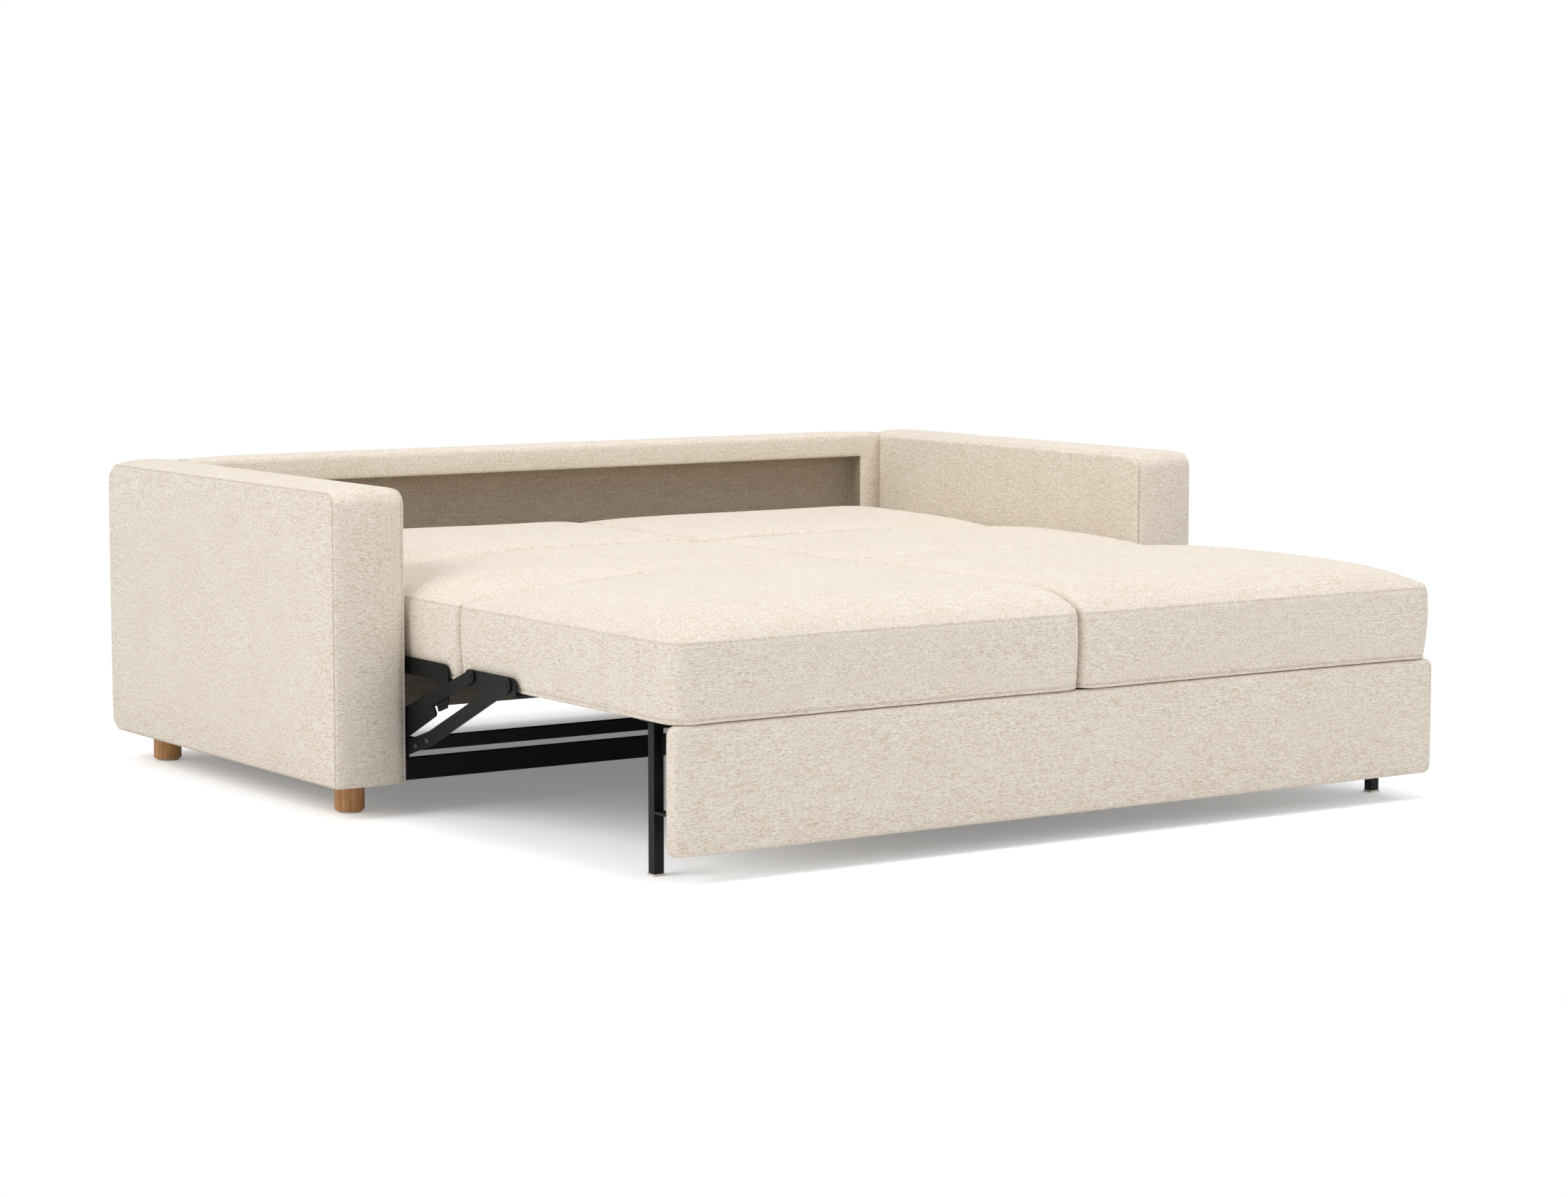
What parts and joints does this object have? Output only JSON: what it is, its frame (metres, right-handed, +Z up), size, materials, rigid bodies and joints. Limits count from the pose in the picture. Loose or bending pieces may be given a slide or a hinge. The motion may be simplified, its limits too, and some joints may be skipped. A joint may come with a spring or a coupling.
{
  "type": "sleeper sofa with pull-out bed",
  "caption": "Upholstered sofa opened into a flat bed: block arms and back, a cushioned folding mattress on steel tube frames, linkage bars and round wooden feet.",
  "frame": {"origin": "centre of the opened sofa's footprint, on the floor", "axes": "+X along the sofa towards the arm on the right in a front view, +Y towards the back, +Z up"},
  "size_m": [2.15, 2.019, 0.649],
  "materials": {
    "upholstery_cloth": "melange woven cloth",
    "oak": "matt oil",
    "black_steel": "powder coated, semi-matt",
    "zinc_steel": "zinc plated",
    "pale_plastic": "moulded",
    "black_plastic": "moulded"
  },
  "bodies": {
    "sofa_frame": {"arm_left": "upholstery_cloth", "arm_right": "upholstery_cloth", "back_frame": "upholstery_cloth", "foot_front_left": "oak", "foot_front_right": "oak", "foot_glide_front_left": "pale_plastic", "foot_glide_front_right": "pale_plastic", "foot_rear_left": "oak", "foot_rear_right": "oak", "foot_glide_rear_left": "pale_plastic", "foot_glide_rear_right": "pale_plastic", "base_rail": "black_steel", "track_left": "black_steel", "track_right": "black_steel", "rear_pivot_pin_left": "zinc_steel", "rear_pivot_pin_right": "zinc_steel"},
    "rear_section": {"rear_section_frame": "black_steel", "rear_cushion_left": "upholstery_cloth", "rear_cushion_right": "upholstery_cloth", "rear_pivot_plate_left": "zinc_steel", "rear_pivot_plate_right": "zinc_steel", "crest_hinge_rear_leaf_left": "zinc_steel", "crest_hinge_rear_leaf_right": "zinc_steel", "crest_hinge_pin_left": "zinc_steel", "crest_hinge_pin_right": "zinc_steel"},
    "middle_section": {"middle_section_frame": "black_steel", "middle_cushion_left": "upholstery_cloth", "middle_cushion_right": "upholstery_cloth", "middle_side_plate_left": "black_steel", "middle_side_plate_right": "black_steel", "crest_hinge_forward_leaf_left": "zinc_steel", "crest_hinge_forward_leaf_right": "zinc_steel", "seam_hinge_rear_leaf_left": "zinc_steel", "seam_hinge_rear_leaf_right": "zinc_steel", "seam_hinge_pin_left": "zinc_steel", "seam_hinge_pin_right": "zinc_steel"},
    "seat_section": {"seat_section_frame": "black_steel", "seat_cushion_left": "upholstery_cloth", "seat_cushion_right": "upholstery_cloth", "seat_side_plate_left": "black_steel", "seat_side_plate_right": "black_steel", "front_panel": "upholstery_cloth", "front_leg_left": "black_steel", "front_leg_right": "black_steel", "front_leg_glide_left": "pale_plastic", "front_leg_glide_right": "pale_plastic", "front_bar_left": "black_steel", "front_bar_right": "black_steel", "rear_bar_left": "black_steel", "rear_bar_right": "black_steel", "carriage_gusset_left": "black_steel", "carriage_gusset_right": "black_steel", "carriage": "black_steel", "front_roller_left": "black_plastic", "front_roller_right": "black_plastic", "rear_roller_left": "black_plastic", "rear_roller_right": "black_plastic", "seam_hinge_forward_leaf_left": "zinc_steel", "seam_hinge_forward_leaf_right": "zinc_steel"}
  },
  "joints": [
    {"name": "rear_fold", "type": "hinge", "parent": "sofa_frame", "child": "rear_section", "pos_m": [0, 0.8755, 0.435], "axis": [-1, 0, 0], "range_deg": [0, 88]},
    {"name": "middle_fold", "type": "hinge", "parent": "rear_section", "child": "middle_section", "pos_m": [0, 0.318, 0.256], "axis": [1, 0, 0], "range_deg": [0, 176]},
    {"name": "seat_fold", "type": "hinge", "parent": "middle_section", "child": "seat_section", "pos_m": [0, -0.2395, 0.435], "axis": [-1, 0, 0], "range_deg": [0, 88]}
  ],
  "couplings": [
    {"joint": "middle_fold", "follows": "rear_fold", "ratio": 2},
    {"joint": "seat_fold", "follows": "rear_fold", "ratio": 1}
  ]
}
